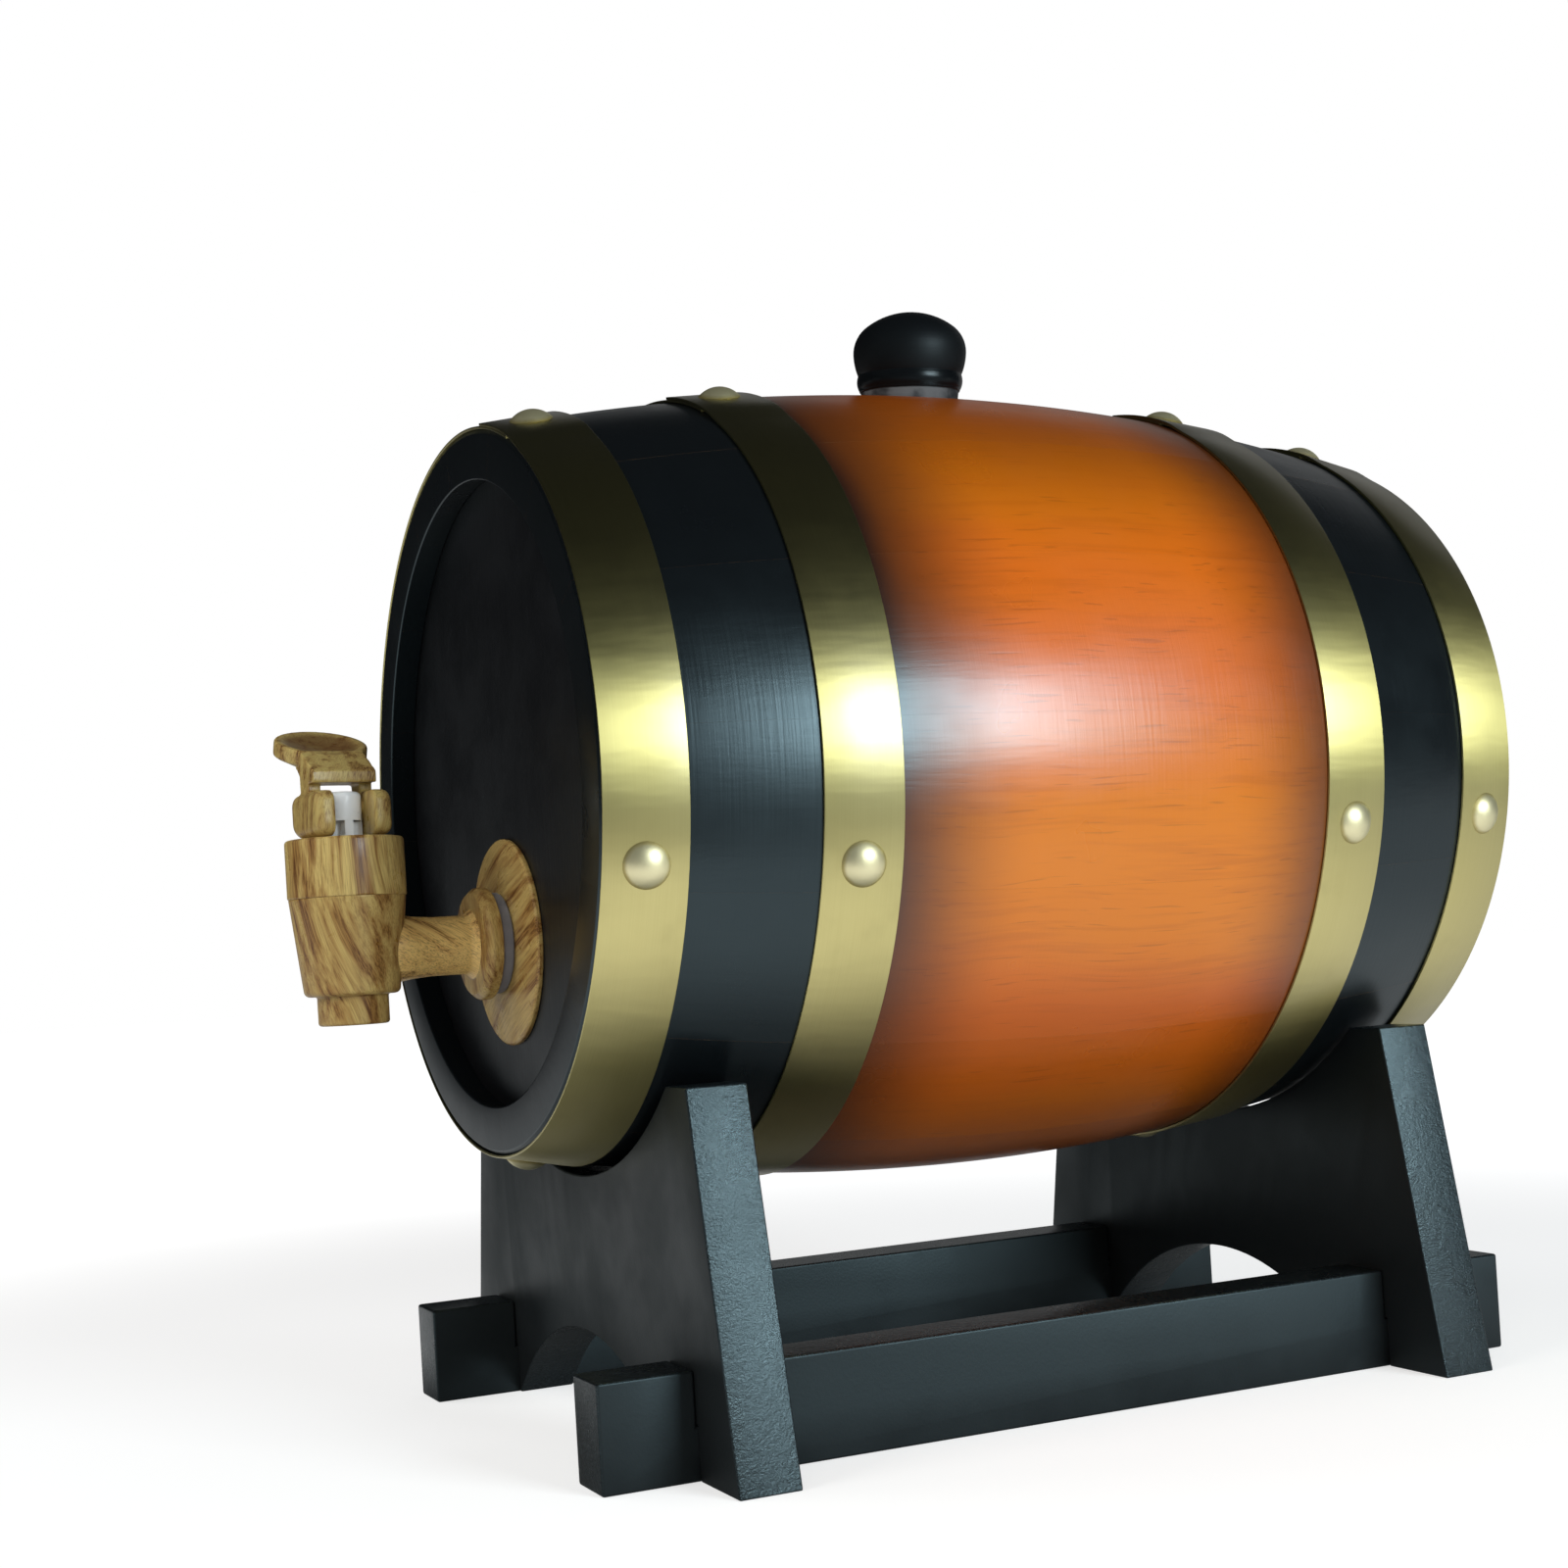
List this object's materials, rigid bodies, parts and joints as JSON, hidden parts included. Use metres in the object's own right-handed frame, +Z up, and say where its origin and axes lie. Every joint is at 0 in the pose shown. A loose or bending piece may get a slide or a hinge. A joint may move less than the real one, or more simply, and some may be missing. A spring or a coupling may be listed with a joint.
{
  "type": "oak cask dispenser",
  "caption": "Small oak cask lying in a slotted board stand, bound with brass hoops, with a lever tap in its front head and a turned bung on top.",
  "frame": {"origin": "on the floor, under the middle of the object's box", "axes": "+Y runs from the tap to the back along the barrel, +X is across the barrel, +Z is up"},
  "size_m": [0.2476, 0.3624, 0.3426],
  "materials": {
    "cask_oak": "satin lacquer over a shaded amber stain",
    "cask_black": "satin black lacquer",
    "brass": "brushed along the strap, polished nail heads",
    "bung_black": "gloss black over turned wood",
    "tap_plastic": "satin, printed with a wood grain film",
    "washer_rubber": "matte",
    "seal_silicone": "matte translucent white",
    "stem_white": "satin white",
    "stand_black": "satin black lacquer"
  },
  "bodies": {
    "stand": {"front_cradle": "stand_black", "rear_cradle": "stand_black", "left_rail": "stand_black", "right_rail": "stand_black"},
    "barrel": {"staves": "cask_oak", "bung_stave": "cask_oak", "front_head": "cask_black", "rear_head": "cask_black", "hoop_front_end": "brass", "hoop_front_bilge": "brass", "hoop_rear_bilge": "brass", "hoop_rear_end": "brass", "nails_front_end": "brass", "nails_front_bilge": "brass", "nails_rear_bilge": "brass", "nails_rear_end": "brass", "tap_escutcheon": "tap_plastic", "tap_washer_outer": "washer_rubber", "tap_washer_inner": "washer_rubber", "tap_lock_nut": "tap_plastic", "tap_body": "tap_plastic", "tap_cap": "tap_plastic"},
    "bung": {"bung": "bung_black"},
    "valve": {"valve_seal": "seal_silicone"},
    "stem": {"tap_stem": "stem_white"},
    "lever": {"tap_lever": "tap_plastic"}
  },
  "joints": [
    {"name": "barrel_lift", "type": "slide", "parent": "stand", "child": "barrel", "axis": [0, 0, 1], "range_m": [0, 0.15]},
    {"name": "bung_pull", "type": "slide", "parent": "barrel", "child": "bung", "axis": [0.1219, 0, 0.9925], "range_m": [0, 0.06]},
    {"name": "valve_lift", "type": "slide", "parent": "barrel", "child": "valve", "axis": [0, 0, 1], "range_m": [0, 0.0036], "deforming": ["valve_seal"]},
    {"name": "lever_swivel", "type": "hinge", "parent": "valve", "child": "stem", "pos_m": [0, -0.164, 0.148], "axis": [0, 0, 1], "continuous": true},
    {"name": "lever_tilt", "type": "hinge", "parent": "stem", "child": "lever", "pos_m": [0, -0.164, 0.1901], "axis": [0.0872, -0.9962, 0], "range_deg": [0, 35], "stiffness_Nm_per_rad": 0.1, "springref_deg": -11.46}
  ],
  "couplings": [
    {"joint": "lever_tilt", "follows": "valve_lift", "rad_per_m": 169.29}
  ]
}
